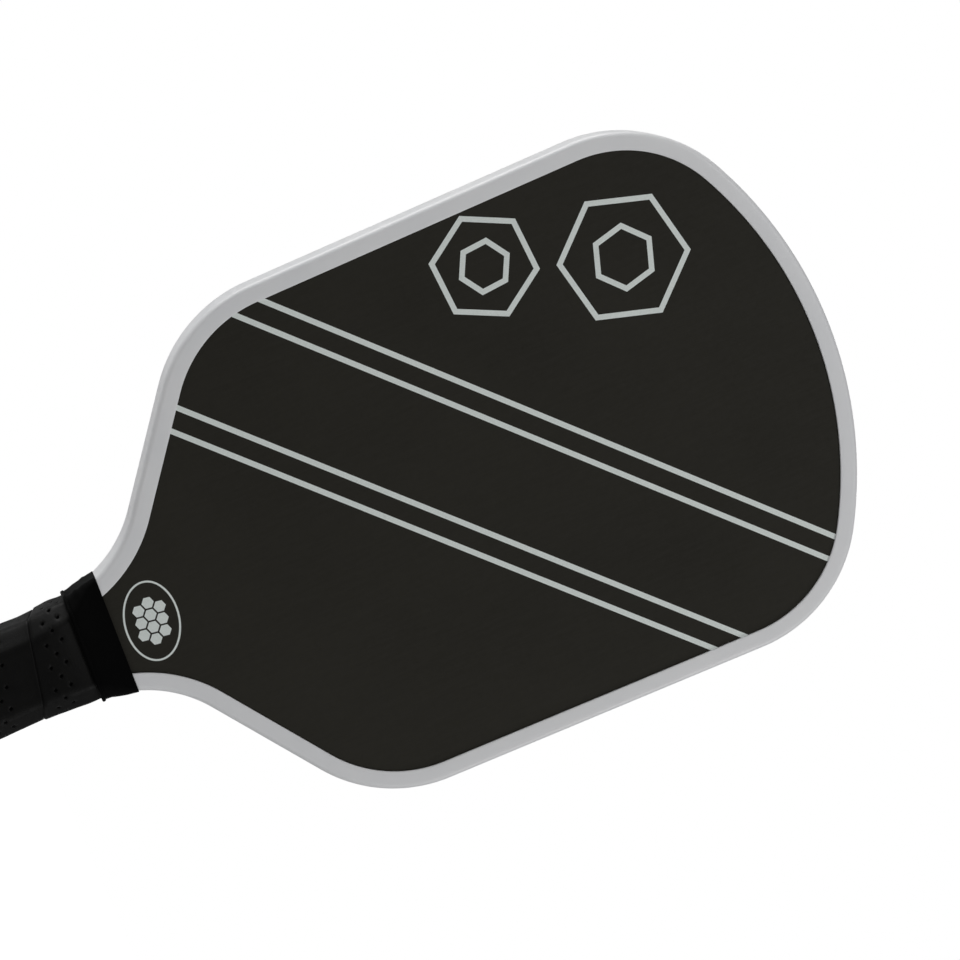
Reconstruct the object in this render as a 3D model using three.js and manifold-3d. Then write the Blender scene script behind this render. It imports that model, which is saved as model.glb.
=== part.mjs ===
// A pickleball paddle with composite faces, a honeycomb core and a wrapped handle. Millimetres.
// +Z runs from the butt of the handle to the tip of the head, +X across the head, and the front
// face looks along -Y. The origin is the middle of the butt's end face.

import * as THREE from "three";
import { mergeVertices } from "three/addons/utils/BufferGeometryUtils.js";
import { ParametricGeometry } from "three/addons/geometries/ParametricGeometry.js";
import Module from "manifold-3d";

const wasm = await Module();
wasm.setup();

// ---- Driving dimensions ----

const LENGTH = 405; // butt to tip
const GLUE = 0.05; // a glue line, or the slack between wound layers
const CLEARANCE = 0.3; // round anything let into its neighbour

// The panel's layers, as distances from its middle plane.
const CORE_HALF = 6.15;
const SCRIM = 0.2;
const FACE_SHEET = 0.5;
const SCRIM_INNER = CORE_HALF + GLUE;
const SHEET_INNER = SCRIM_INNER + SCRIM + GLUE;
const PANEL_HALF = SHEET_INNER + FACE_SHEET;
const SEAT = PANEL_HALF + GLUE; // where anything glued to a face sheet begins

// The core's hexagonal cells, from wall to wall, and the solid margin left round them.
const CELL = { acrossFlats: 11.5, wall: 0.5, margin: 2 };

// The edge guard's width outside the visible face, its wall and its lips.
const GUARD_WIDTH = 6.7;
const GUARD_WALL = 1.2;
const GUARD_LIP = 0.8;
const GUARD_HALF = SEAT + GUARD_LIP;
const GUARD_ROUNDING = 1.7;
const GUARD_ROUNDING_STEPS = 3;
const GUARD_END_Z = 114;
const PANEL_MARGIN = GUARD_WIDTH - GUARD_WALL - CLEARANCE;

// The visible face's edge, walked from the tip down one side. A run is an arc or a straight
// length, and a negative radius curves outwards, as the throat does.
const FACE_TIP_Z = LENGTH - GUARD_WIDTH;
const FACE_RUNS = [
  { radius: 145, turn: 28.5 }, // crown
  { radius: 46.5, turn: 62.6 }, // upper corner
  { length: 125.5 }, // side
  { radius: 47.5, turn: 52.7 }, // lower corner
  { length: 46.5 }, // shoulder
  { radius: -53, turn: 53.8 }, // throat
];
const ARC_STEP = 4.5; // degrees

// The panel's tongue, which narrows below the throat and runs down inside the handle.
const TONGUE = { halfWidth: 16.3, fromZ: 97 };

// The handle. A section is an octagon: half width a, half depth b and corner cut c.
const HANDLE = { a: 16.4, b: 12.6, c: 5.6 };
const HANDLE_FOOT_Z = 4.3;
const PALLET_SLOPE = { from: 96, to: GUARD_END_Z - 0.5 };
const STRIP = { halfWidth: 5, thickness: 0.2, from: 27, to: 96 };

const CAP = { flange: 4.6, rim: 1.2, flangeTop: 6, skirtTop: 22, wall: 1.4, floor: 1.8 };
const PLUG = { radius: 11, thickness: 1.6, edge: 0.4, setBack: 0.3, sides: 48 };
const STAPLE = { z: 14, halfWidth: 4, wire: 0.8, legTip: 9 };

// The wrap is even between two heights and ends at the top under the tape.
const WRAP = { thickness: 1.6, skirtEase: 0.2, evenFrom: 34, evenTo: 91 };
const WRAP_SHOULDER = { z: 106, a: 19.2, b: 13.6, c: 6.6 };
const WRAP_TOP = { z: 112, a: 19.2, b: 12.2, c: 5.8 };
const WRAP_TOP_INSIDE = { z: 112, a: 18.2, b: 9.3, c: 2 };
const WRAP_CORNER = 5.2; // corner cut inside the wrap at the top of the even part

// What the tape closes over, from the wrap's last turn up past the guard's ends.
const NECK = [
  { z: 109.5, a: 19.3, b: 12.9, c: 6 },
  { z: 112.2, a: 19.3, b: 12.3, c: 5 },
  { z: 114, a: 20, b: 11.4, c: 4.2 },
  { z: 120, a: 21.45, b: 8.2, c: 1.4 },
];
const TAPE_THICKNESS = 0.3;

// The collar's ends, on the wrap and on the guard.
const COLLAR_FOOT = { z: 108.8, a: 19.65, b: 13.4, c: 6 };
const COLLAR_TOP = { z: 122.3, a: 22.25, b: 7.9, c: 1.1 };
const COLLAR_THICKNESS = 0.5;

// ---- Outlines and sections ----

const radians = THREE.MathUtils.degToRad;

// Points of the visible face's edge, grown outwards by `grow`, from the tip down the +X side.
function edgePoints(grow) {
  const at = new THREE.Vector2(0, FACE_TIP_Z + grow);
  const points = [at.clone()];
  let heading = 0;
  for (const run of FACE_RUNS) {
    const steps = run.length ? 1 : Math.ceil(run.turn / ARC_STEP);
    const turn = run.length ? 0 : (radians(run.turn) / steps) * Math.sign(run.radius);
    const step = run.length ?? 2 * Math.abs((run.radius + grow) * Math.sin(turn / 2));
    for (let i = 0; i < steps; i += 1) {
      at.x += step * Math.cos(heading + turn / 2);
      at.y -= step * Math.sin(heading + turn / 2);
      heading += turn;
      points.push(at.clone());
    }
  }
  return points;
}

// The whole outline: the head, the throat and the tongue down to footZ.
function outline(grow, footZ) {
  const right = edgePoints(grow);
  const tongueX = TONGUE.halfWidth + grow - PANEL_MARGIN;
  right.push(new THREE.Vector2(tongueX, TONGUE.fromZ));
  right.push(new THREE.Vector2(tongueX, footZ));
  const left = right.slice(1).map((p) => new THREE.Vector2(-p.x, p.y));
  return new THREE.Shape([...right, ...left.reverse()]);
}

const CORNERS = 8;

// The corners of an octagonal section, in order round it.
function octagon({ a, b, c }) {
  const quarter = [new THREE.Vector2(a, b - c), new THREE.Vector2(a - c, b)];
  const half = [...quarter, ...quarter.map((p) => new THREE.Vector2(-p.x, p.y)).reverse()];
  return [...half, ...half.map((p) => new THREE.Vector2(-p.x, -p.y))];
}

// A section grown outwards by `by`.
const grown = ({ a, b, c }, by) => ({ a: a + by, b: b + by, c: c + by * 0.6 });

// ---- Geometry ----

// A flat piece with this outline in the XZ plane, from y = near to y = far.
function plate(shape, near, far, rounding = 0) {
  const geometry = new THREE.ExtrudeGeometry(shape, {
    depth: far - near - 2 * rounding,
    bevelEnabled: rounding > 0,
    bevelSize: rounding,
    bevelThickness: rounding,
    bevelSegments: GUARD_ROUNDING_STEPS,
  });
  return geometry.rotateX(Math.PI / 2).translate(0, far - rounding, 0);
}

// An upright octagonal block.
function block(section, fromZ, toZ) {
  const shape = new THREE.Shape(octagon(section));
  const options = { depth: toZ - fromZ, bevelEnabled: false };
  return new THREE.ExtrudeGeometry(shape, options).translate(0, 0, fromZ);
}

// A ring round the handle through a closed loop of stations { z, a, b, c }, which goes up the
// outside and down the inside.
function ring(stations) {
  const corners = stations.map(octagon);
  const place = (u, v, target) => {
    const station = Math.round(v * stations.length) % stations.length;
    const point = corners[station][Math.round(u * CORNERS) % CORNERS];
    target.set(point.x, point.y, stations[station].z);
  };
  return new ParametricGeometry(place, CORNERS, stations.length);
}

// A ring of even thickness over the inside stations given from the bottom up.
function sleeve(inside, thickness) {
  const outside = inside.map((station) => ({ z: station.z, ...grown(station, thickness) }));
  return ring([...outside, ...inside.toReversed()]);
}

// A box between two corners.
function box([x0, y0, z0], [x1, y1, z1]) {
  const geometry = new THREE.BoxGeometry(x1 - x0, y1 - y0, z1 - z0);
  return geometry.translate((x0 + x1) / 2, (y0 + y1) / 2, (z0 + z1) / 2);
}

// ---- Joining and cutting ----

function solid(geometry) {
  const bare = geometry.clone();
  bare.deleteAttribute("normal");
  bare.deleteAttribute("uv");
  const merged = mergeVertices(bare, 1e-4);
  const vertProperties = merged.attributes.position.array;
  const triVerts = new Uint32Array(merged.index.array);
  return new wasm.Manifold(new wasm.Mesh({ numProp: 3, vertProperties, triVerts }));
}

function geometryOf(manifold) {
  const { vertProperties, triVerts } = manifold.getMesh();
  const geometry = new THREE.BufferGeometry();
  geometry.setAttribute("position", new THREE.BufferAttribute(vertProperties, 3));
  geometry.setIndex(new THREE.BufferAttribute(triVerts, 1));
  geometry.computeVertexNormals();
  return geometry;
}

const cut = (first, ...others) =>
  geometryOf(others.reduce((left, other) => left.subtract(solid(other)), solid(first)));

const join = (first, second) => geometryOf(solid(first).add(solid(second)));

// ---- The panel and its guard ----

const PANEL_OUTLINE = outline(PANEL_MARGIN, HANDLE_FOOT_Z);

// Whether a point is inside a closed outline: a ray from it crosses the outline an odd number of times.
function inside(point, edge) {
  let crossings = 0;
  edge.forEach((a, i) => {
    const b = edge[(i + 1) % edge.length];
    const spans = a.y > point.y !== b.y > point.y;
    if (spans && point.x < a.x + ((b.x - a.x) * (point.y - a.y)) / (b.y - a.y)) crossings += 1;
  });
  return crossings % 2 === 1;
}

// One hexagonal cell, with a corner pointing to the tip.
function cell(centre) {
  const radius = CELL.acrossFlats / Math.sqrt(3);
  return Array.from({ length: 6 }, (_, i) => {
    const angle = radians(30 + 60 * i);
    return new THREE.Vector2(Math.cos(angle), Math.sin(angle)).multiplyScalar(radius).add(centre);
  });
}

// A slab with open cells right through it, wherever a whole cell fits.
function core() {
  const slab = outline(PANEL_MARGIN, HANDLE_FOOT_Z);
  const limit = outline(PANEL_MARGIN - CELL.margin, HANDLE_FOOT_Z + CELL.margin).getPoints();
  const pitch = CELL.acrossFlats + CELL.wall;
  const rowPitch = (pitch * Math.sqrt(3)) / 2;
  const across = Math.ceil(LENGTH / pitch);
  for (let row = 0; row * rowPitch < LENGTH; row += 1) {
    for (let column = -across; column <= across; column += 1) {
      const x = (column + (row % 2) / 2) * pitch;
      const corners = cell(new THREE.Vector2(x, row * rowPitch));
      if (corners.every((p) => inside(p, limit))) slab.holes.push(new THREE.Path(corners));
    }
  }
  return plate(slab, -CORE_HALF, CORE_HALF);
}

const scrim = () => plate(PANEL_OUTLINE, -SCRIM_INNER - SCRIM, -SCRIM_INNER);

const faceSheet = () => plate(PANEL_OUTLINE, -PANEL_HALF, -SHEET_INNER);

// A channel round the head, open inwards, with a lip over each face.
function edgeGuard() {
  const past = 1;
  const rounded = outline(GUARD_WIDTH - GUARD_ROUNDING, 0);
  const bar = plate(rounded, -GUARD_HALF, GUARD_HALF, GUARD_ROUNDING);
  const channel = plate(outline(PANEL_MARGIN + CLEARANCE, -past), -SEAT, SEAT);
  const window = plate(outline(0, -past), -GUARD_HALF - past, GUARD_HALF + past);
  const below = box([-LENGTH, -GUARD_HALF - past, -LENGTH], [LENGTH, GUARD_HALF + past, GUARD_END_Z]);
  return cut(bar, channel, window, below);
}

// ---- The handle ----

const SKIRT_INNER = HANDLE.b + GLUE;
const SKIRT_OUTER = SKIRT_INNER + CAP.wall;

// The slots that a staple is driven into, a clearance larger than the staple.
function stapleSlots() {
  const { z, halfWidth, wire, legTip } = STAPLE;
  const outside = -SKIRT_OUTER - 1;
  const halfHeight = wire / 2 + CLEARANCE;
  const slot = (fromX, toX, depth) =>
    box([fromX, outside, z - halfHeight], [toX, depth, z + halfHeight]);
  const end = halfWidth + CLEARANCE;
  const inner = halfWidth - wire - CLEARANCE;
  const crown = slot(-end, end, CLEARANCE + wire - SKIRT_OUTER);
  const leg = CLEARANCE - legTip;
  return [crown, slot(-end, -inner, leg), slot(inner, end, leg)];
}

// A U of flat wire, its crown flush with the skirt and its legs through skirt and pallet.
function staple() {
  const { z, halfWidth, wire, legTip } = STAPLE;
  const bar = box([-halfWidth, -SKIRT_OUTER, z - wire / 2], [halfWidth, -legTip, z + wire / 2]);
  const inside = halfWidth - wire;
  const gap = box([-inside, wire - SKIRT_OUTER, z - wire], [inside, 0, z + wire]);
  return cut(bar, gap);
}

// The handle's bulk in front of the tongue, sloping down to the face at the throat.
function pallet() {
  const bulk = block(HANDLE, HANDLE_FOOT_Z, PALLET_SLOPE.to);
  const behind = box([-HANDLE.a - 1, -SEAT, 0], [HANDLE.a + 1, HANDLE.b + 1, LENGTH]);
  const wedge = new THREE.Shape();
  wedge.moveTo(-HANDLE.b, PALLET_SLOPE.from);
  wedge.lineTo(-SEAT, PALLET_SLOPE.to);
  wedge.lineTo(-HANDLE.b, 2 * PALLET_SLOPE.to);
  wedge.lineTo(-2 * HANDLE.b, PALLET_SLOPE.from);
  const width = 4 * HANDLE.a;
  const slope = new THREE.ExtrudeGeometry(wedge, { depth: width, bevelEnabled: false });
  slope.rotateX(Math.PI / 2).rotateZ(Math.PI / 2).translate(-width / 2, 0, 0);
  return cut(bulk, behind, slope, ...stapleSlots());
}

// A strip of double-sided tape on the pallet's flat.
function adhesiveStrip() {
  const near = -HANDLE.b - GLUE - STRIP.thickness;
  const far = -HANDLE.b - GLUE;
  return box([-STRIP.halfWidth, near, STRIP.from], [STRIP.halfWidth, far, STRIP.to]);
}

// A cup over the handle's foot: a flared flange, a floor and a skirt that the wrap covers.
function buttCap() {
  const inside = grown(HANDLE, GLUE);
  const skirt = grown(inside, CAP.wall);
  const flange = grown(HANDLE, CAP.flange);
  const recess = PLUG.thickness + PLUG.setBack + GLUE;
  const outside = [
    { z: 0, ...grown(flange, -CAP.rim) },
    { z: CAP.rim, ...flange },
    { z: CAP.flangeTop - CAP.rim, ...flange },
    { z: CAP.flangeTop, ...grown(flange, -CAP.rim) },
    { z: CAP.flangeTop, ...skirt },
    { z: CAP.skirtTop, ...skirt },
  ];
  const bore = [
    { z: CAP.skirtTop, ...inside },
    { z: 0, ...inside },
  ];
  const floor = block(grown(inside, CAP.wall / 2), 0, recess + CAP.floor);
  const radius = PLUG.radius + CLEARANCE;
  const plugSeat = new THREE.CylinderGeometry(radius, radius, 2 * recess, PLUG.sides);
  plugSeat.rotateX(Math.PI / 2);
  const slots = stapleSlots();
  const backSlots = stapleSlots().map((slot) => slot.rotateZ(Math.PI));
  return cut(join(ring([...outside, ...bore]), floor), plugSeat, ...slots, ...backSlots);
}

// A turned disc, let into the butt cap's end.
function buttPlug() {
  const { radius, thickness, edge, setBack, sides } = PLUG;
  const profile = [
    new THREE.Vector2(0, 0),
    new THREE.Vector2(radius - edge, 0),
    new THREE.Vector2(radius, edge),
    new THREE.Vector2(radius, thickness),
    new THREE.Vector2(0, thickness),
  ];
  return new THREE.LatheGeometry(profile, sides).rotateX(Math.PI / 2).translate(0, 0, setBack);
}

// The cushion wrap: it swells over the cap's skirt and again where its last turn doubles.
function gripWrap() {
  const overSkirt = grown(HANDLE, CAP.wall + 2 * GLUE);
  const overStrip = grown(HANDLE, STRIP.thickness + 2 * GLUE);
  const turn = grown(HANDLE, WRAP.thickness);
  const foot = CAP.flangeTop + GLUE;
  const outside = [
    { z: foot, ...grown(overSkirt, WRAP.thickness) },
    { z: CAP.skirtTop + 1, ...grown(overSkirt, WRAP.thickness - WRAP.skirtEase) },
    { z: WRAP.evenFrom, ...turn },
    { z: WRAP.evenTo, ...turn },
    WRAP_SHOULDER,
    WRAP_TOP,
  ];
  const inside = [
    WRAP_TOP_INSIDE,
    { z: PALLET_SLOPE.from, ...overStrip, c: WRAP_CORNER },
    { z: CAP.skirtTop + 4, ...overStrip },
    { z: CAP.skirtTop + GLUE, ...overSkirt },
    { z: foot, ...overSkirt },
  ];
  return ring([...outside, ...inside]);
}

// Tape that holds down the wrap's last turn and the guard's ends.
const finishingTape = () => sleeve(NECK, TAPE_THICKNESS);

// A stretched rubber band over the tape, with its front edge on the face.
function collar() {
  const overTape = NECK.map((station) => ({ z: station.z, ...grown(station, TAPE_THICKNESS + GLUE) }));
  return sleeve([COLLAR_FOOT, ...overTape, COLLAR_TOP], COLLAR_THICKNESS);
}

// ---- Materials ----

const finish = (color, roughness, metalness = 0) => ({ color, roughness, metalness });

const MATERIALS = {
  composite: finish(0x24231f, 0.45),
  core: finish(0xe9e7df, 0.6),
  scrim: finish(0xf4f4f0, 0.9),
  guard: finish(0xd4d5d8, 0.4),
  foam: finish(0x3a3a3c, 0.95),
  adhesive: finish(0xd9c9a0, 0.5),
  moulded: finish(0x1b1b1c, 0.5),
  steel: finish(0xb6b8ba, 0.35, 1),
  wrap: finish(0x1c1c1a, 0.7),
  tape: finish(0x161616, 0.6),
  rubber: finish(0x050505, 0.55),
};

// ---- Assembly ----

const paddle = new THREE.Group();

function add(name, geometry, material, parent = paddle) {
  const mesh = new THREE.Mesh(geometry, new THREE.MeshStandardMaterial(MATERIALS[material]));
  mesh.name = name;
  parent.add(mesh);
}

// The layers that the two sides share are built facing front. The back group turns them round.
for (const side of ["front", "back"]) {
  const layers = new THREE.Group();
  layers.rotation.z = side === "back" ? Math.PI : 0;
  paddle.add(layers);
  add(`scrim_${side}`, scrim(), "scrim", layers);
  add(`face_sheet_${side}`, faceSheet(), "composite", layers);
  add(`handle_pallet_${side}`, pallet(), "foam", layers);
  add(`adhesive_strip_${side}`, adhesiveStrip(), "adhesive", layers);
  add(`cap_staple_${side}`, staple(), "steel", layers);
}

add("core", core(), "core");
add("edge_guard", edgeGuard(), "guard");
add("butt_cap", buttCap(), "moulded");
add("butt_plug", buttPlug(), "moulded");
add("grip_wrap", gripWrap(), "wrap");
add("finishing_tape", finishingTape(), "tape");
add("rubber_collar", collar(), "rubber");

export default paddle;
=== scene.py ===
"""A pickleball paddle: its visible pieces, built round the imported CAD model.

Shapes are worked out in millimetres in the CAD model's frame, and become metres in make().
The front face looks along -Y, +X runs across the head and +Z runs from the butt to the tip.
"""

import math

import bmesh
import bpy
from mathutils import Matrix, Quaternion, Vector


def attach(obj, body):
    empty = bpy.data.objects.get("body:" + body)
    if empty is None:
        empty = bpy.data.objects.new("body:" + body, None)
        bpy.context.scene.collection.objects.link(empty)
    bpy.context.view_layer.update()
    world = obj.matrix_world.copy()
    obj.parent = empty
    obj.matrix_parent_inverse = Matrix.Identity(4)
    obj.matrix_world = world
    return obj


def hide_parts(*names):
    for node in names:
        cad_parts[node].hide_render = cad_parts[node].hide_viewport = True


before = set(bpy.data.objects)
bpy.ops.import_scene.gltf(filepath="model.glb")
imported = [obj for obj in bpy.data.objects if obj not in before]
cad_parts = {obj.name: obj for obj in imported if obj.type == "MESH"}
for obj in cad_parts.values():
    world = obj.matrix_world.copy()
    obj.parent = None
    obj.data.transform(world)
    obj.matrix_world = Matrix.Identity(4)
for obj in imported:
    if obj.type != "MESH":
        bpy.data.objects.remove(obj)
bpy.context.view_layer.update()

SCENE = bpy.context.scene
MM = 0.001

# ---- Dimensions shared with the CAD model, in millimetres ----

PANEL_HALF = 6.95  # middle plane to a face sheet's surface
SEAT = 7.0  # middle plane to the inner side of the guard's lips
GUARD_WIDTH = 6.7
GUARD_HALF = 7.8
CHANNEL_FLOOR = 5.5
FACE_TIP_Z = 398.3
# Runs of the visible face's edge from the tip: (radius, turn in degrees) or (length,).
FACE_RUNS = [(145, 28.5), (46.5, 62.6), (125.5,), (47.5, 52.7), (46.5,), (-53, 53.8)]
GUARD_END_Z = 114
HANDLE = (16.4, 12.6, 5.6)  # an octagon's half width, half depth and corner cut
FLANGE_TOP = 6.0
SKIRT_TOP = 22.0


def grown(section, by):
    a, b, c = section
    return a + by, b + by, c + 0.6 * by


def smooth(x, low, high):
    """0 below low, 1 above high, and a smooth step between."""
    t = min(max((x - low) / (high - low), 0.0), 1.0)
    return t * t * (3 - 2 * t)


# ---- Mesh tools ----


def make(name, verts, faces, material, replaces=(), sharp=35):
    """A piece from millimetre vertices. Faces meeting at more than sharp degrees keep their edge."""
    mesh = bpy.data.meshes.new(name)
    mesh.from_pydata([Vector(v) * MM for v in verts], [], faces)
    bm = bmesh.new()
    bm.from_mesh(mesh)
    bmesh.ops.remove_doubles(bm, verts=bm.verts, dist=1e-7)
    bmesh.ops.recalc_face_normals(bm, faces=bm.faces)
    bm.to_mesh(mesh)
    bm.free()
    mesh.shade_smooth()
    mesh.set_sharp_from_angle(angle=math.radians(sharp))
    mesh.materials.append(material)
    piece = bpy.data.objects.new(name, mesh)
    SCENE.collection.objects.link(piece)
    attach(piece, "root")
    if replaces:
        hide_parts(*replaces)
    return piece


def loft(loops, ring=False):
    """Quads between successive loops of equal length. Open ends are capped, and a ring closes on itself."""
    n = len(loops[0])
    verts = [p for loop in loops for p in loop]
    faces = []
    for k in range(len(loops) if ring else len(loops) - 1):
        low, high = k * n, (k + 1) % len(loops) * n
        for i in range(n):
            j = (i + 1) % n
            faces.append((low + i, low + j, high + j, high + i))
    if not ring:
        faces.append(tuple(reversed(range(n))))
        faces.append(tuple(range(len(verts) - n, len(verts))))
    return verts, faces


def octagon_walk(section, radius):
    """A function from a share of the perimeter to (point, outward normal) on an octagon with
    rounded corners. It starts in the middle of the front and turns towards +X."""
    a, b, c = section
    quarter = [(a - c, -b), (a, c - b)]
    right = quarter + [(x, -y) for x, y in reversed(quarter)]
    corners = [Vector(p) for p in right + [(-x, y) for x, y in reversed(right)]]
    points = []
    for i, at in enumerate(corners):
        before = (at - corners[i - 1]).normalized()
        after = (corners[(i + 1) % 8] - at).normalized()
        turn = before.angle(after)
        start = at - before * radius * math.tan(turn / 2)
        centre = start + Vector((-before.y, before.x)) * radius
        for k in range(9):
            angle = turn * k / 8
            out = Vector((before.y, -before.x))
            cos, sin = math.cos(angle), math.sin(angle)
            out = Vector((out.x * cos - out.y * sin, out.x * sin + out.y * cos))
            points.append((centre + out * radius, out))
    front = Vector((0, -1))
    middle = (Vector((0, -b)), front)
    points = [middle, *points, middle]
    lengths = [0.0]
    for (p, _), (q, _) in zip(points, points[1:]):
        lengths.append(lengths[-1] + (q - p).length)

    def at_share(share):
        target = share % 1.0 * lengths[-1]
        k = max(i for i in range(len(lengths) - 1) if lengths[i] <= target)
        span = lengths[k + 1] - lengths[k]
        t = (target - lengths[k]) / span if span > 1e-9 else 0.0
        (p, m), (q, n) = points[k], points[k + 1]
        return p.lerp(q, t), m.lerp(n, t).normalized()

    return at_share


def octagon_loop(z, section, radius, count):
    walk = octagon_walk(section, radius)
    return [(*walk(i / count)[0], z) for i in range(count)]


def circle_loop(z, radius, count):
    turns = (2 * math.pi * i / count for i in range(count))
    return [(radius * math.sin(t), -radius * math.cos(t), z) for t in turns]


# ---- Material tools ----


class Nodes:
    """Builds one material's nodes, in object coordinates, which are metres in the frame."""

    def __init__(self, name):
        self.material = bpy.data.materials.new(name)
        self.material.use_nodes = True
        self.tree = self.material.node_tree
        self.shader = self.tree.nodes["Principled BSDF"]
        self.coords = self.tree.nodes.new("ShaderNodeTexCoord").outputs["Object"]

    def node(self, kind, inputs, **settings):
        made = self.tree.nodes.new(kind)
        for key, value in settings.items():
            setattr(made, key, value)
        for key, value in inputs.items():
            self.put(made.inputs[key], value)
        return made

    def put(self, socket, value):
        if isinstance(value, bpy.types.NodeSocket):
            self.tree.links.new(value, socket)
        else:
            socket.default_value = value

    def scaled(self, x, y, z):
        return self.node("ShaderNodeMapping", {"Vector": self.coords, "Scale": (x, y, z)}).outputs[0]

    def noise(self, scale, detail=3.0, roughness=0.5, vector=None):
        inputs = {"Vector": vector or self.coords, "Scale": scale, "Detail": detail, "Roughness": roughness}
        return self.node("ShaderNodeTexNoise", inputs).outputs["Fac"]

    def cells(self, scale):
        inputs = {"Vector": self.coords, "Scale": scale}
        return self.node("ShaderNodeTexVoronoi", inputs).outputs["Distance"]

    def wave(self, scale, direction, distortion=0.0):
        inputs = {"Vector": self.coords, "Scale": scale, "Distortion": distortion}
        return self.node("ShaderNodeTexWave", inputs, bands_direction=direction).outputs["Fac"]

    def attribute(self, name):
        return self.node("ShaderNodeAttribute", {}, attribute_name=name).outputs["Fac"]

    def maths(self, operation, a, b=0.0):
        return self.node("ShaderNodeMath", {0: a, 1: b}, operation=operation).outputs[0]

    def ranged(self, value, low, high, to_low=0.0, to_high=1.0):
        inputs = {"Value": value, "From Min": low, "From Max": high, "To Min": to_low, "To Max": to_high}
        return self.node("ShaderNodeMapRange", inputs).outputs[0]

    def mix(self, share, first, second):
        made = self.node("ShaderNodeMix", {}, data_type="RGBA")
        self.put(made.inputs[0], share)
        self.put(made.inputs[6], first)
        self.put(made.inputs[7], second)
        return made.outputs[2]

    def bump(self, height, strength, distance_mm):
        inputs = {"Height": height, "Strength": strength, "Distance": distance_mm * MM}
        return self.node("ShaderNodeBump", inputs).outputs[0]

    def finish(self, colour, roughness, normal, **constants):
        self.put(self.shader.inputs["Base Color"], colour)
        self.put(self.shader.inputs["Roughness"], roughness)
        self.put(self.shader.inputs["Normal"], normal)
        for key, value in constants.items():
            self.shader.inputs[key.replace("_", " ")].default_value = value
        return self.material


def grey(value, warmth=0.0):
    return (value * (1 + warmth), value, value * (1 - warmth), 1)


def composite():
    """Raw charcoal composite: faint clouding, a fine peel-ply weave and grit."""
    n = Nodes("composite_face")
    clouds = n.noise(14, 4, 0.55)
    fibres = n.noise(1, 3, 0.6, n.scaled(900, 900, 90))
    weave = n.maths("MULTIPLY", n.wave(260, "X", 0.4), n.wave(260, "Z", 0.4))
    grit = n.noise(2600, 2, 0.6)
    base = n.mix(n.ranged(clouds, 0.3, 0.7), (0.0152, 0.0138, 0.0096, 1), (0.0202, 0.0184, 0.0133, 1))
    colour = n.mix(n.ranged(fibres, 0.35, 0.75, 0, 0.35), base, (0.0245, 0.0228, 0.0178, 1))
    rough = n.ranged(n.noise(420, 3), 0.3, 0.7, 0.56, 0.68)
    height = n.maths("ADD", n.maths("MULTIPLY", weave, 0.5), grit)
    return n.finish(colour, rough, n.bump(height, 0.35, 0.03), Specular_IOR_Level=0.2)


def guard_plastic():
    """Satin white moulding with fine texture, a little yellowing and faint scuffs."""
    n = Nodes("guard_plastic")
    tint = n.noise(28, 3, 0.5)
    scuffs = n.noise(1, 4, 0.7, n.scaled(700, 160, 260))
    colour = n.mix(n.ranged(tint, 0.3, 0.7), (0.765, 0.770, 0.784, 1), (0.808, 0.808, 0.813, 1))
    colour = n.mix(n.ranged(scuffs, 0.66, 0.78, 0, 0.22), colour, (0.50, 0.50, 0.49, 1))
    rough = n.ranged(scuffs, 0.35, 0.75, 0.36, 0.56)
    height = n.maths("ADD", n.noise(1500, 2, 0.5), n.maths("MULTIPLY", n.noise(90, 2), 1.5))
    return n.finish(colour, rough, n.bump(height, 0.12, 0.04), Specular_IOR_Level=0.45)


def ink():
    """Screen-printed pale grey paint: even, slightly stippled and a touch worn."""
    n = Nodes("face_ink")
    stipple = n.noise(1900, 2, 0.6)
    worn = n.noise(320, 4, 0.65)
    colour = n.mix(n.ranged(stipple, 0.3, 0.7), (0.72, 0.77, 0.74, 1), (0.79, 0.84, 0.81, 1))
    colour = n.mix(n.ranged(worn, 0.64, 0.76, 0, 0.35), colour, (0.50, 0.52, 0.50, 1))
    rough = n.ranged(stipple, 0.3, 0.7, 0.45, 0.6)
    return n.finish(colour, rough, n.bump(stipple, 0.2, 0.02), Specular_IOR_Level=0.4)


def grip_leather():
    """Matt black synthetic leather, with pores, soft creases and perforations; the pits of the pores and the
    insides of the perforations are painted darker as painted shade.
    """
    n = Nodes("grip_leather")
    pores = n.cells(1700)
    creases = n.noise(1, 4, 0.6, n.scaled(240, 240, 520))
    hole = n.attribute("hole")
    rubbed = n.noise(45, 3, 0.6)
    colour = n.mix(n.ranged(rubbed, 0.35, 0.7), (0.0014, 0.0014, 0.0013, 1), (0.0045, 0.0043, 0.0039, 1))
    # Painted shade: the pits of the pores, where the bump is lowest, are painted darker.
    colour = n.mix(n.ranged(pores, 0.0, 0.35, 0.5, 0.0), colour, (0.001, 0.001, 0.001, 1))
    # Painted shade: the perforations are painted darker the deeper they go.
    colour = n.mix(n.ranged(hole, 0.15, 0.6), colour, (0.0012, 0.0012, 0.0012, 1))
    height = n.maths("ADD", n.ranged(pores, 0.0, 0.4), n.maths("MULTIPLY", creases, 1.4))
    rough = n.maths("MAXIMUM", n.ranged(creases, 0.3, 0.7, 0.42, 0.56), n.ranged(hole, 0.1, 0.5))
    sheen = {"Sheen_Weight": 0.07, "Sheen_Roughness": 0.35}
    return n.finish(colour, rough, n.bump(height, 0.45, 0.08), Specular_IOR_Level=0.11, **sheen)


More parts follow.
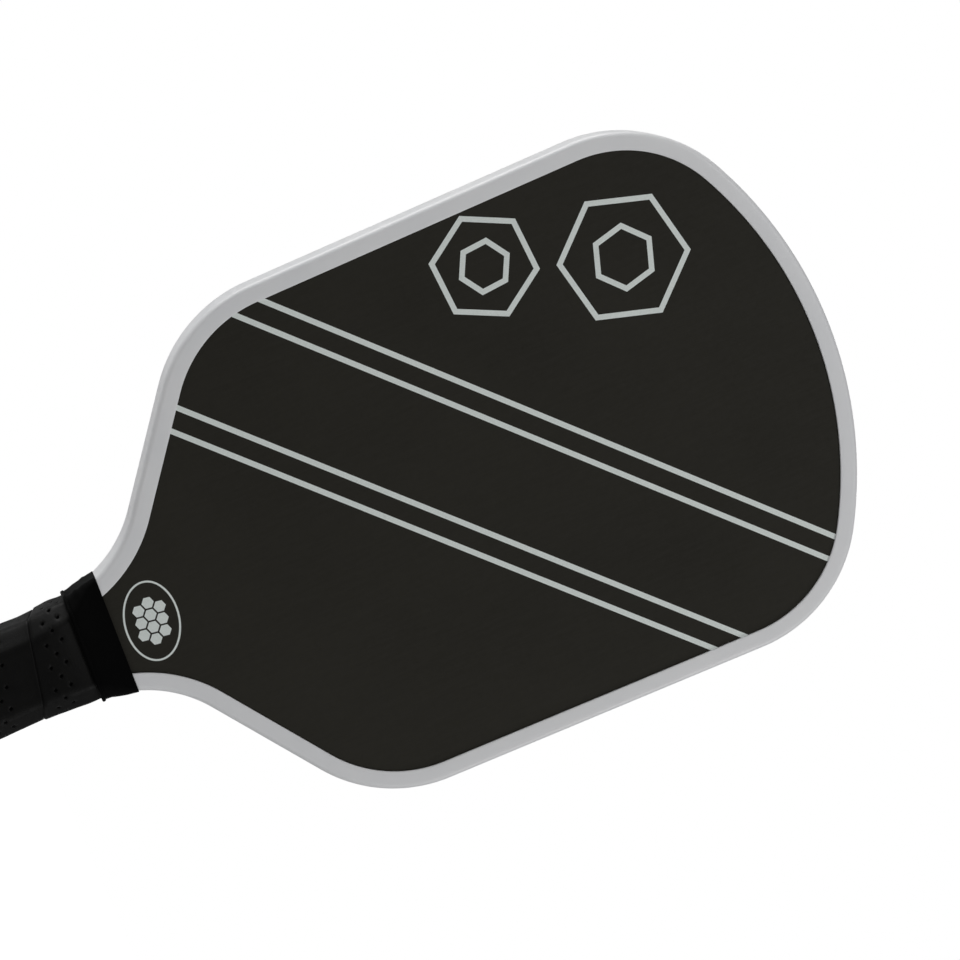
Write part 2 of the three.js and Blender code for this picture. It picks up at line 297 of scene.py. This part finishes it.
def collar_rubber():
    """Soft black rubber with a faint talc bloom and fine stretch marks round the handle."""
    n = Nodes("collar_rubber")
    bloom = n.noise(60, 4, 0.6)
    rings = n.noise(1, 2, 0.5, n.scaled(60, 60, 1500))
    colour = n.mix(n.ranged(bloom, 0.4, 0.75), (0.0008, 0.0008, 0.0008, 1), (0.0022, 0.0022, 0.0022, 1))
    height = n.maths("ADD", rings, n.maths("MULTIPLY", n.noise(800, 3), 0.6))
    rough = n.ranged(bloom, 0.3, 0.7, 0.6, 0.75)
    sheen = {"Sheen_Weight": 0.08, "Sheen_Roughness": 0.3}
    return n.finish(colour, rough, n.bump(height, 0.3, 0.05), Specular_IOR_Level=0.03, **sheen)


def cap_plastic():
    """Spark-eroded black moulding, with shinier worn patches."""
    n = Nodes("cap_plastic")
    spark = n.noise(1400, 3, 0.6)
    wear = n.noise(110, 4, 0.65)
    colour = n.mix(n.ranged(wear, 0.4, 0.7), (0.0105, 0.0105, 0.011, 1), (0.0175, 0.0175, 0.018, 1))
    rough = n.ranged(wear, 0.35, 0.7, 0.52, 0.36)
    return n.finish(colour, rough, n.bump(spark, 0.3, 0.05), Specular_IOR_Level=0.5)


def grained(name, dark, light, scale, roughness, bump, **constants):
    """A plain procedural finish for a layer that lies inside the handle or the panel."""
    n = Nodes(name)
    grain = n.noise(scale, 4, 0.6)
    speck = n.cells(scale * 2.2)
    colour = n.mix(n.ranged(grain, 0.3, 0.7), dark, light)
    rough = n.ranged(speck, 0.0, 0.6, roughness - 0.08, roughness + 0.08)
    height = n.maths("ADD", grain, speck)
    return n.finish(colour, rough, n.bump(height, bump, 0.1), **constants)


def scrim_fabric():
    n = Nodes("scrim_fabric")
    threads = n.maths("MAXIMUM", n.wave(330, "X", 0.5), n.wave(330, "Z", 0.5))
    colour = n.mix(threads, (0.42, 0.42, 0.40, 1), (0.80, 0.80, 0.77, 1))
    return n.finish(colour, n.ranged(threads, 0, 1, 0.95, 0.8), n.bump(threads, 0.6, 0.1))


COMPOSITE = composite()
GUARD = guard_plastic()
INK = ink()
GRIP = grip_leather()
COLLAR = collar_rubber()
CAP = cap_plastic()

CARRIED_OVER = {
    "face_sheet": COMPOSITE,
    "scrim": scrim_fabric(),
    "core": grained("core_plastic", grey(0.62, 0.03), grey(0.74, 0.03), 160, 0.55, 0.3),
    "handle_pallet": grained("pallet_foam", grey(0.035), grey(0.055), 700, 0.9, 0.8),
    "adhesive_strip": grained("adhesive_film", grey(0.50, 0.2), grey(0.62, 0.2), 300, 0.45, 0.2),
    "cap_staple": grained("staple_steel", grey(0.42), grey(0.58), 900, 0.32, 0.2, Metallic=1.0),
    "finishing_tape": grained("tape_fabric", grey(0.008), grey(0.014), 1100, 0.65, 0.5),
}
for node_name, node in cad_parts.items():
    for prefix, finish in CARRIED_OVER.items():
        if node_name.startswith(prefix):
            node.data.materials.clear()
            node.data.materials.append(finish)


# ---- The edge guard ----


def edge_path(step):
    """(point, outward normal) along the visible face's edge, from the tip down the +X side."""
    at = Vector((0, FACE_TIP_Z))
    heading = 0.0
    path = [(at.copy(), Vector((0, 1)))]
    for run in FACE_RUNS:
        radius, turn = run if len(run) == 2 else (0, 0)
        steps = max(1, math.ceil(turn / step))
        angle = math.copysign(math.radians(turn) / steps, radius)
        length = 2 * abs(radius * math.sin(angle / 2)) if turn else run[0]
        for _ in range(steps):
            along = heading + angle / 2
            at = at + Vector((math.cos(along), -math.sin(along))) * length
            heading += angle
            path.append((at.copy(), Vector((math.sin(heading), math.cos(heading)))))
    return [(p, n) for p, n in path if p.y > GUARD_END_Z]


def arc(centre, radius, start, end, steps):
    """Points on an arc of a section, angles in degrees from +u towards +v."""
    angles = (math.radians(start + (end - start) * k / steps) for k in range(steps + 1))
    return [(centre[0] + radius * math.cos(t), centre[1] + radius * math.sin(t)) for t in angles]


def guard_section():
    """The guard's closed section: (distance outside the visible face, height off the middle plane)."""
    lip_round = 0.3
    corner = 2.1
    crown = 0.06  # the lip is very slightly domed, and so is the side
    half = [(CHANNEL_FLOOR, SEAT), (0.0, SEAT)]
    half += arc((lip_round, GUARD_HALF - crown - lip_round), lip_round, 180, 90, 4)
    half += [(1.4, GUARD_HALF - 0.01), (2.9, GUARD_HALF)]
    half += arc((GUARD_WIDTH - corner - 0.04, GUARD_HALF - corner - 0.03), corner, 86, 4, 10)
    half += [(GUARD_WIDTH, 2.6)]
    return half + [(u, -v) for u, v in reversed(half)]


def guard():
    right = edge_path(1.5)
    left = [(Vector((-p.x, p.y)), Vector((-n.x, n.y))) for p, n in reversed(right[1:])]
    section = guard_section()
    loops = []
    for p, n in left + right:
        loops.append([(p.x + n.x * u, -v, p.y + n.y * u) for u, v in section])
    verts, faces = loft(loops)
    make("edge_guard_moulding", verts, faces, GUARD, ("edge_guard",), 50)


guard()

# ---- Print on the faces ----

INK_FROM = PANEL_HALF + 0.005
INK_TO = PANEL_HALF + 0.04
LINE = 2.0


def strokes(nodes, edges, width):
    """Polygons of straight strokes between points, mitred where they meet."""
    nodes = {key: Vector(p) for key, p in nodes.items()}
    around = {key: [] for key in nodes}
    for a, b in edges:
        around[a].append(b)
        around[b].append(a)
    corners = {}
    for key, others in around.items():
        at = nodes[key]
        ways = {o: (nodes[o] - at).normalized() for o in others}
        others.sort(key=lambda o: math.atan2(ways[o].y, ways[o].x))
        for i, o in enumerate(others):
            after = others[(i + 1) % len(others)]
            p, q = ways[o], ways[after]
            cross = p.x * q.y - p.y * q.x
            if len(others) == 1:
                side = Vector((-p.y, p.x)) * width / 2
                corners[key, o] = (at - side, at + side)
                continue
            flat = abs(cross) < 1e-4
            corner = at + (Vector((-p.y, p.x)) if flat else (p + q) / cross) * width / 2
            corners[key, o] = (corners.get((key, o), (None, None))[0], corner)
            corners[key, after] = (corner, corners.get((key, after), (None, None))[1])
    polygons = []
    for a, b in edges:
        (a_right, a_left), (b_right, b_left) = corners[a, b], corners[b, a]
        polygons.append([a_right, b_left, b_right, a_left])
    for key, others in around.items():
        if len(others) > 2:
            polygons.append([corners[key, o][1] for o in others])
    return polygons


def closed_stroke(points, width):
    nodes = dict(enumerate(points))
    return strokes(nodes, [(i, (i + 1) % len(points)) for i in nodes], width)


def prisms(polygons):
    """Flat polygons in (x, z) raised off the front face as closed bodies. Shared inner edges get no side."""
    verts, index, faces, sides = [], {}, [], {}

    def corner(p):
        key = (round(p[0], 5), round(p[1], 5))
        if key not in index:
            index[key] = len(verts)
            verts.append((key[0], -INK_FROM, key[1]))
            verts.append((key[0], -INK_TO, key[1]))
        return index[key]

    for polygon in polygons:
        ids = [corner(p) for p in polygon]
        faces.append(tuple(ids))
        faces.append(tuple(i + 1 for i in reversed(ids)))
        for a, b in zip(ids, ids[1:] + ids[:1]):
            if (b, a) in sides:
                del sides[b, a]
            else:
                sides[a, b] = True
    faces += [(b, a, a + 1, b + 1) for a, b in sides]
    return verts, faces


def hexagon(centre, radius, tilt):
    angles = (math.radians(tilt) + 2 * math.pi * i / 6 for i in range(6))
    return [(centre[0] + radius * math.cos(t), centre[1] + radius * math.sin(t)) for t in angles]


# The lines: plain parallel stripes in two pairs, from rim to rim.
STRIPE_HEIGHTS = (-92, -104, -158, -170)  # where each crosses the middle, from the face's tip
STRIPE_SLOPE = math.radians(45)
UNDER_LIP = 1.8
MARKS = [((-71.2, -104.3), 19.2, 65), ((-54.6, -55.8), 23.8, 74)]  # centre, radius, tilt
INNER_SHARE = 0.48  # a mark's inner hexagon against its outer one
BADGE = ((0.1, -262.7), 14.5, 9.75, -9)  # centre, half width, half height, tilt
BADGE_RING = 0.7
BADGE_PITCH = 4.5
BADGE_STEPS = 96


def line_work():
    right = [p for p, _ in edge_path(3)]
    rim = right + [Vector((-p.x, p.y)) for p in reversed(right)]
    along = Vector((math.cos(STRIPE_SLOPE), math.sin(STRIPE_SLOPE)))
    across = Vector((-along.y, along.x))
    nodes, edges = {}, []
    for k, height in enumerate(STRIPE_HEIGHTS):
        middle = Vector((0, FACE_TIP_Z + height))
        reach = []
        for p, q in zip(rim, rim[1:]):
            a, b = (p - middle).dot(across), (q - middle).dot(across)
            if a * b < 0:
                reach.append((p.lerp(q, a / (a - b)) - middle).dot(along))
        nodes[k, 0] = middle + along * (min(reach) - UNDER_LIP)
        nodes[k, 1] = middle + along * (max(reach) + UNDER_LIP)
        edges.append(((k, 0), (k, 1)))
    return strokes(nodes, edges, LINE)


def cell_mark(centre, radius, tilt):
    """A generic mark: a hexagon inside a hexagon, like one cell of the core."""
    centre = (centre[0], centre[1] + FACE_TIP_Z)
    outer = closed_stroke(hexagon(centre, radius, tilt), LINE)
    inner = closed_stroke(hexagon(centre, radius * INNER_SHARE, tilt + 30), LINE)
    return outer + inner


def oval_badge(centre, half_width, half_height, tilt):
    """A generic badge: a thin oval ring round ten plain hexagonal cells."""
    angle = math.radians(tilt)
    turn = Matrix.Rotation(angle, 2)
    middle = Vector((centre[0], centre[1] + FACE_TIP_Z))
    ring = []
    for i in range(BADGE_STEPS):
        t = 2 * math.pi * i / BADGE_STEPS
        ring.append(middle + turn @ Vector((half_width * math.cos(t), half_height * math.sin(t))))
    polygons = closed_stroke(ring, BADGE_RING)
    for row, cells in ((-1, 3), (0, 4), (1, 3)):
        for i in range(cells):
            at = Vector(((i - (cells - 1) / 2) * BADGE_PITCH, row * BADGE_PITCH * math.sqrt(3) / 2))
            spot = middle + turn @ at
            polygons.append([Vector(p) for p in hexagon(spot, 0.5 * BADGE_PITCH, 30 + tilt)])
    return polygons


def print_on(side):
    """The print on one face. Only the front has the oval badge. The back is the front turned round."""
    turn = -1 if side == "back" else 1
    groups = {"line_print": line_work()}
    groups["mark_print"] = [polygon for mark in MARKS for polygon in cell_mark(*mark)]
    if side == "front":
        groups["oval_badge_print"] = oval_badge(*BADGE)
    for name, polygons in groups.items():
        verts, faces = prisms(polygons)
        verts = [(turn * x, turn * y, z) for x, y, z in verts]
        make(f"{name}_{side}", verts, faces, INK)


print_on("front")
print_on("back")

# ---- The grip wrap ----

PITCH = 22.8  # the strip climbs this far in each turn
SEAM_Z = 91.0  # height of a seam at the middle of the front
HOLE_ROWS = (5.35, 8.35, 11.1)  # distances above the seam
HOLE_RADIUS = 0.72
HOLE_DEPTH = 1.05
HALF_PITCHES = 28  # half hole pitches round the handle
GIRTH = 112.8
WRAP_FROM = FLANGE_TOP + 0.05
WRAP_TO = 112.0
WRAP_STATIONS = [
    (6.05, 19.3, 15.5, 7.4, 5.5),
    (14.0, 19.4, 15.6, 7.4, 5.5),
    (22.0, 19.1, 15.3, 7.3, 5.5),
    (33.0, 18.0, 14.2, 6.6, 5.0),
    (60.0, 17.8, 14.0, 6.6, 5.0),
    (92.0, 17.9, 14.1, 6.6, 5.0),
    (99.0, 18.4, 14.3, 6.6, 4.5),
    (106.0, 19.2, 13.6, 6.6, 4.0),
    (112.0, 19.2, 12.2, 5.8, 3.0),
]
WRAP_INSIDE = [
    (112.0, 18.2, 9.3, 2.0, 0.4),
    (96.0, 16.7, 12.9, 5.2, 0.5),
    (26.0, 16.7, 12.9, 5.2, 0.5),
    (22.05, 17.9, 14.1, 6.5, 0.5),
    (6.05, 17.9, 14.1, 6.5, 0.5),
]


def wrap():
    spots = (-0.75, -0.42, 0.0, 0.42, 0.75)
    columns = []
    for i in range(HALF_PITCHES):
        middle = i * GIRTH / HALF_PITCHES
        columns += [(middle + s, i, s) for s in spots]
        columns.append((middle + GIRTH / HALF_PITCHES / 2, i, None))
    rows = [(t, None, None) for t in (0.0, 0.12, 0.3, 0.55, 0.95, 1.6, 2.6, 3.7, 6.85, 9.7)]
    rows += [(t, None, None) for t in (13.0, 14.2, 15.6, 17.0, 18.5, 20.0, 21.2, 22.1, 22.5)]
    rows += [(t + s, k, s) for k, t in enumerate(HOLE_ROWS) for s in spots]
    rows.sort()
    shares = [s / GIRTH for s, _, _ in columns]
    rings = []
    for z, a, b, c, radius in WRAP_STATIONS:
        walk = octagon_walk((a, b, c), radius)
        rings.append((z, [walk(s) for s in shares]))

    def on_surface(column, z):
        k = 0
        while k < len(rings) - 2 and rings[k + 1][0] < z:
            k += 1
        (z0, low), (z1, high) = rings[k], rings[k + 1]
        t = min(max((z - z0) / (z1 - z0), 0), 1)
        (p, m), (q, n) = low[column], high[column]
        return p.lerp(q, t), m.lerp(n, t).normalized()

    def relief(t, z, share):
        """How far the strip stands off: proud at its lower edge, which laps over the turn below."""
        rise = smooth(t, -0.1, 1.0) * 0.7 - 0.36
        fall = -0.38 * smooth(t, 3.0, PITCH)
        padded = 0.10 * math.sin(math.pi * min(t / PITCH, 1))
        soft = 0.05 * math.sin(9.1 * share * math.pi * 2 + z * 0.21) * math.sin(z * 0.37 + 1.3)
        fade = (1 - smooth(z, 103, 108)) * smooth(z, WRAP_FROM, WRAP_FROM + 1.2)
        return (rise + fall + padded + soft) * fade - 0.15 * (1 - fade)

    verts, holes, index = [], [], {}

    def vertex(column, turn, row):
        """Index of a grid vertex. Rows past an end of the wrap share one vertex on that end."""
        if column == len(columns):
            column, turn = 0, turn - 1
        t, hole_row, dt = rows[row]
        z = SEAM_Z + turn * PITCH + t - PITCH * shares[column]
        past_end = z < WRAP_FROM + 0.02 or z > WRAP_TO - 0.02
        key = (column, z < WRAP_TO / 2) if past_end else (column, turn, row)
        if key not in index:
            if len(key) == 2:
                z = WRAP_FROM if key[1] else WRAP_TO
            point, normal = on_surface(column, z)
            _, cell, ds = columns[column]
            depth = 0.0
            if hole_row is not None and ds is not None and (cell + hole_row) % 2 == 0 and len(key) == 3:
                depth = 1 - smooth(math.hypot(ds, dt), 0.45 * HOLE_RADIUS, HOLE_RADIUS)
            off = relief(t, z, shares[column]) - HOLE_DEPTH * depth
            point = point + normal * off
            index[key] = len(verts)
            verts.append((point.x, point.y, z))
            holes.append(depth)
        return index[key]

    faces = []
    for turn in range(-5, 3):
        for row in range(len(rows)):
            up = (turn, row + 1) if row + 1 < len(rows) else (turn + 1, 0)
            for column in range(len(columns)):
                corners = [
                    vertex(column, turn, row),
                    vertex(column + 1, turn, row),
                    vertex(column + 1, *up),
                    vertex(column, *up),
                ]
                corners = list(dict.fromkeys(corners))
                if len(corners) > 2:
                    faces.append(tuple(corners))
    inner = []
    for z, a, b, c, radius in WRAP_INSIDE:
        walk = octagon_walk((a, b, c), radius)
        inner.append([])
        for share in shares:
            p = walk(share)[0]
            inner[-1].append(len(verts))
            verts.append((p.x, p.y, z))
            holes.append(0.0)
    top = [index[(i, False)] for i in range(len(columns))]
    bottom = [index[(i, True)] for i in range(len(columns))]
    for low, high in zip([top, *inner], [*inner, bottom]):
        for i in range(len(columns)):
            j = (i + 1) % len(columns)
            faces.append((low[i], low[j], high[j], high[i]))
    piece = make("grip_wrap_strip", verts, faces, GRIP, ("grip_wrap",), 60)
    if len(piece.data.vertices) != len(holes):
        raise RuntimeError("the wrap's grid has vertices that coincide")
    attribute = piece.data.attributes.new("hole", "FLOAT", "POINT")
    attribute.data.foreach_set("value", holes)


wrap()

# ---- The collar ----

COLLAR_INSIDE = [
    (108.0, 19.6, 13.5, 6.0),
    (108.8, 19.6, 13.3, 6.0),
    (112.2, 19.65, 12.65, 5.2),
    (114.0, 20.35, 11.75, 4.4),
    (120.0, 21.75, 8.5, 1.6),
    (122.3, 22.2, 7.95, 1.3),
    (124.0, 22.75, 7.95, 1.3),
]
COLLAR_FROM = 108.9
COLLAR_TO = 122.3
COLLAR_TILT = -0.033  # the band sits a little askew


def between(stations, z):
    """The station dimensions at height z."""
    k = 0
    while k < len(stations) - 2 and stations[k + 1][0] < z:
        k += 1
    (z0, *low), (z1, *high) = stations[k], stations[k + 1]
    t = min(max((z - z0) / (z1 - z0), 0), 1)
    return [p + (q - p) * t for p, q in zip(low, high)]


def collar():
    count = 144
    body, edge, bead = 0.5, 0.14, 0.55  # thickness, and how far the bead stands off the body
    outside = []
    for k in range(7):  # the bead rolled at the lower edge
        angle = math.radians(180 * k / 6)
        outside.append((COLLAR_FROM + 0.7 - 0.7 * math.cos(angle), body + bead * math.sin(angle)))
    for z in (110.8, 111.6, 112.6, 113.8, 115.2, 116.6, 118.0, 119.2, 120.2, 121.0, 121.6):
        outside.append((z, body + (edge + 0.1 - body) * smooth(z, 116.0, 121.8)))
    for k in range(5):
        angle = math.radians(90 * k / 4)
        outside.append((COLLAR_TO - 0.4 + 0.4 * math.sin(angle), 0.1 + edge * math.cos(angle)))
    inside = [(z, 0.02) for z in (COLLAR_TO, 121.0, 120.0, 118.0, 116.0, 114.0, 112.2, 110.5, COLLAR_FROM)]
    loops = []
    for z, off in outside + inside:
        loop = []
        for i in range(count):
            walk_z = z
            for _ in range(2):
                a, b, c = between(COLLAR_INSIDE, walk_z)
                point, normal = octagon_walk((a, b, c), 0.9 * c)(i / count)
                walk_z = z + COLLAR_TILT * point.x
            # Small folds where the band is pulled over the -X side of the handle.
            folds = math.sin(1.9 * walk_z + 0.35 * point.y)
            folds += 0.7 * math.sin(3.1 * walk_z - 0.6 * point.y + 1.0)
            folds *= 0.13 * smooth(-point.x, 13, 20)
            folds += 0.05 * math.sin(1.1 * walk_z + 0.8 * point.x)
            point = point + normal * (off + folds * smooth(off, 0.2, 0.5))
            loop.append((point.x, point.y, walk_z))
        loops.append(loop)
    verts, faces = loft(loops, ring=True)
    make("collar_band", verts, faces, COLLAR, ("rubber_collar",), 60)


collar()

# ---- The butt cap and its plug ----

CAP_COUNT = 96
PLUG_RADIUS = 11.0
PLUG_SEAT_DEPTH = 1.95


def cap():
    flange = grown(HANDLE, 4.6)
    skirt = grown(HANDLE, 1.45)
    foot = grown(HANDLE, 0.05)
    low, high = 1.9, 1.5  # the flange's two edge radii
    loops = [circle_loop(PLUG_SEAT_DEPTH, PLUG_RADIUS + 0.3, CAP_COUNT)]
    for k in range(4):
        t = math.radians(30 * k)
        radius = PLUG_RADIUS + 0.65 - 0.35 * math.cos(t)
        loops.append(circle_loop(0.35 * (1 - math.sin(t)), radius, CAP_COUNT))
    for k in range(7):
        t = math.radians(15 * k)
        section = grown(flange, -low * (1 - math.sin(t)))
        loops.append(octagon_loop(low * (1 - math.cos(t)), section, 6.5, CAP_COUNT))
    for z in (2.9, 3.1, 3.3, 3.5):  # a fine parting line round the flange
        dent = 0.12 if z in (3.1, 3.3) else 0.0
        loops.append(octagon_loop(z, grown(flange, -dent), 6.5, CAP_COUNT))
    for k in range(7):
        t = math.radians(15 * k)
        section = grown(flange, -high * (1 - math.cos(t)))
        loops.append(octagon_loop(FLANGE_TOP - high + high * math.sin(t), section, 6.5, CAP_COUNT))
    loops.append(octagon_loop(FLANGE_TOP, skirt, 2.0, CAP_COUNT))
    loops.append(octagon_loop(SKIRT_TOP, skirt, 2.0, CAP_COUNT))
    loops.append(octagon_loop(SKIRT_TOP, foot, 0.4, CAP_COUNT))
    loops.append(octagon_loop(4.0, foot, 0.4, CAP_COUNT))
    verts, faces = loft(loops)
    make("butt_cap_moulding", verts, faces, CAP, ("butt_cap",), 40)


def hexagon_loop(z, radius, count):
    turns = (math.pi * i / 3 for i in range(6))
    corners = [Vector((radius * math.sin(t), -radius * math.cos(t))) for t in turns]
    per_side = count // 6
    loop = []
    for i in range(count):
        side, step = divmod(i, per_side)
        p = corners[side].lerp(corners[(side + 1) % 6], step / per_side)
        loop.append((p.x, p.y, z))
    return loop


def plug():
    """A disc with a raised hexagon on its outer face."""
    face, raised, edge = 0.3, 0.06, 0.45
    loops = [circle_loop(1.9, PLUG_RADIUS, CAP_COUNT), circle_loop(0.75, PLUG_RADIUS, CAP_COUNT)]
    for k in range(1, 4):
        t = math.radians(30 * k)
        radius = PLUG_RADIUS - edge * (1 - math.cos(t))
        loops.append(circle_loop(face + edge * (1 - math.sin(t)), radius, CAP_COUNT))
    loops += [hexagon_loop(face, 7.4, CAP_COUNT), hexagon_loop(raised, 7.1, CAP_COUNT)]
    loops += [hexagon_loop(raised, 5.6, CAP_COUNT), hexagon_loop(face, 5.3, CAP_COUNT)]
    loops += [circle_loop(face, 1.6, CAP_COUNT), circle_loop(face + 0.25, 1.1, CAP_COUNT)]
    verts, faces = loft(loops)
    make("butt_plug_disc", verts, faces, CAP, ("butt_plug",), 25)


cap()
plug()

# ---- Camera ----

CAMERA_AT = Vector((-254.7, -1236.7, 116.3)) * MM
LOOK = Vector((0.20142, 0.97252, 0.11674))
ROLL = math.radians(66.81)
camera_data = bpy.data.cameras.new("camera")
camera_data.lens = 131.25
camera_data.sensor_width = 36
camera_data.clip_start = 0.05
camera_data.clip_end = 50
camera = bpy.data.objects.new("camera", camera_data)
camera.location = CAMERA_AT
camera.rotation_mode = "QUATERNION"
camera.rotation_quaternion = LOOK.to_track_quat("-Z", "Y") @ Quaternion((0, 0, 1), ROLL)
SCENE.collection.objects.link(camera)
SCENE.camera = camera

# ---- Stage and light ----


def light_share(tree):
    """1 for what the camera sees directly, 0 for the light that the stage gives."""
    return tree.nodes.new("ShaderNodeLightPath").outputs["Is Camera Ray"]


def stage():
    size = 3.0
    mesh = bpy.data.meshes.new("floor")
    corners = [(-size, -size, 0), (size, -size, 0), (size, size, 0), (-size, size, 0)]
    mesh.from_pydata(corners, [], [(0, 1, 2, 3)])
    floor = bpy.data.objects.new("floor", mesh)
    floor.location.z = -0.0003
    SCENE.collection.objects.link(floor)
    material = bpy.data.materials.new("floor_white")
    material.use_nodes = True
    tree = material.node_tree
    shader = tree.nodes["Principled BSDF"]
    shader.inputs["Base Color"].default_value = (0.65, 0.65, 0.65, 1)
    shader.inputs["Roughness"].default_value = 0.9
    shader.inputs["Specular IOR Level"].default_value = 0.0
    glow = tree.nodes.new("ShaderNodeEmission")
    glow.inputs["Strength"].default_value = 0.97
    both = tree.nodes.new("ShaderNodeAddShader")
    chosen = tree.nodes.new("ShaderNodeMixShader")
    tree.links.new(shader.outputs[0], both.inputs[0])
    tree.links.new(glow.outputs[0], both.inputs[1])
    tree.links.new(light_share(tree), chosen.inputs[0])
    tree.links.new(shader.outputs[0], chosen.inputs[1])
    tree.links.new(both.outputs[0], chosen.inputs[2])
    tree.links.new(chosen.outputs[0], tree.nodes["Material Output"].inputs[0])
    mesh.materials.append(material)

    world = bpy.data.worlds.new("studio")
    world.use_nodes = True
    tree = world.node_tree
    seen = tree.nodes["Background"]
    seen.inputs["Color"].default_value = (1, 1, 1, 1)
    given = tree.nodes.new("ShaderNodeBackground")
    given.inputs["Color"].default_value = (0.96, 0.98, 1.0, 1)
    given.inputs["Strength"].default_value = 0.13
    chosen = tree.nodes.new("ShaderNodeMixShader")
    tree.links.new(light_share(tree), chosen.inputs[0])
    tree.links.new(given.outputs[0], chosen.inputs[1])
    tree.links.new(seen.outputs[0], chosen.inputs[2])
    tree.links.new(chosen.outputs[0], tree.nodes["World Output"].inputs[0])
    SCENE.world = world


def softbox(name, at, target, size, watts):
    data = bpy.data.lights.new(name, "AREA")
    data.shape = "DISK"
    data.size = size
    data.energy = watts
    box = bpy.data.objects.new(name, data)
    box.location = at
    box.rotation_mode = "QUATERNION"
    box.rotation_quaternion = (Vector(target) - Vector(at)).to_track_quat("-Z", "Y")
    box.visible_camera = False
    SCENE.collection.objects.link(box)


stage()
HEAD = (0, 0, 0.27)
softbox("softbox_side", (-1.25, 0.3, 0.5), HEAD, 1.0, 12)
softbox("softbox_front", (-0.12, -0.95, 1.15), (0, 0, 0.40), 0.7, 4.7)
softbox("softbox_far", (1.2, -0.7, 0.5), HEAD, 0.8, 5.4)
softbox("softbox_back", (0.5, 1.5, 0.8), HEAD, 0.8, 6)

SCENE.view_settings.view_transform = "Standard"
SCENE.view_settings.look = "None"
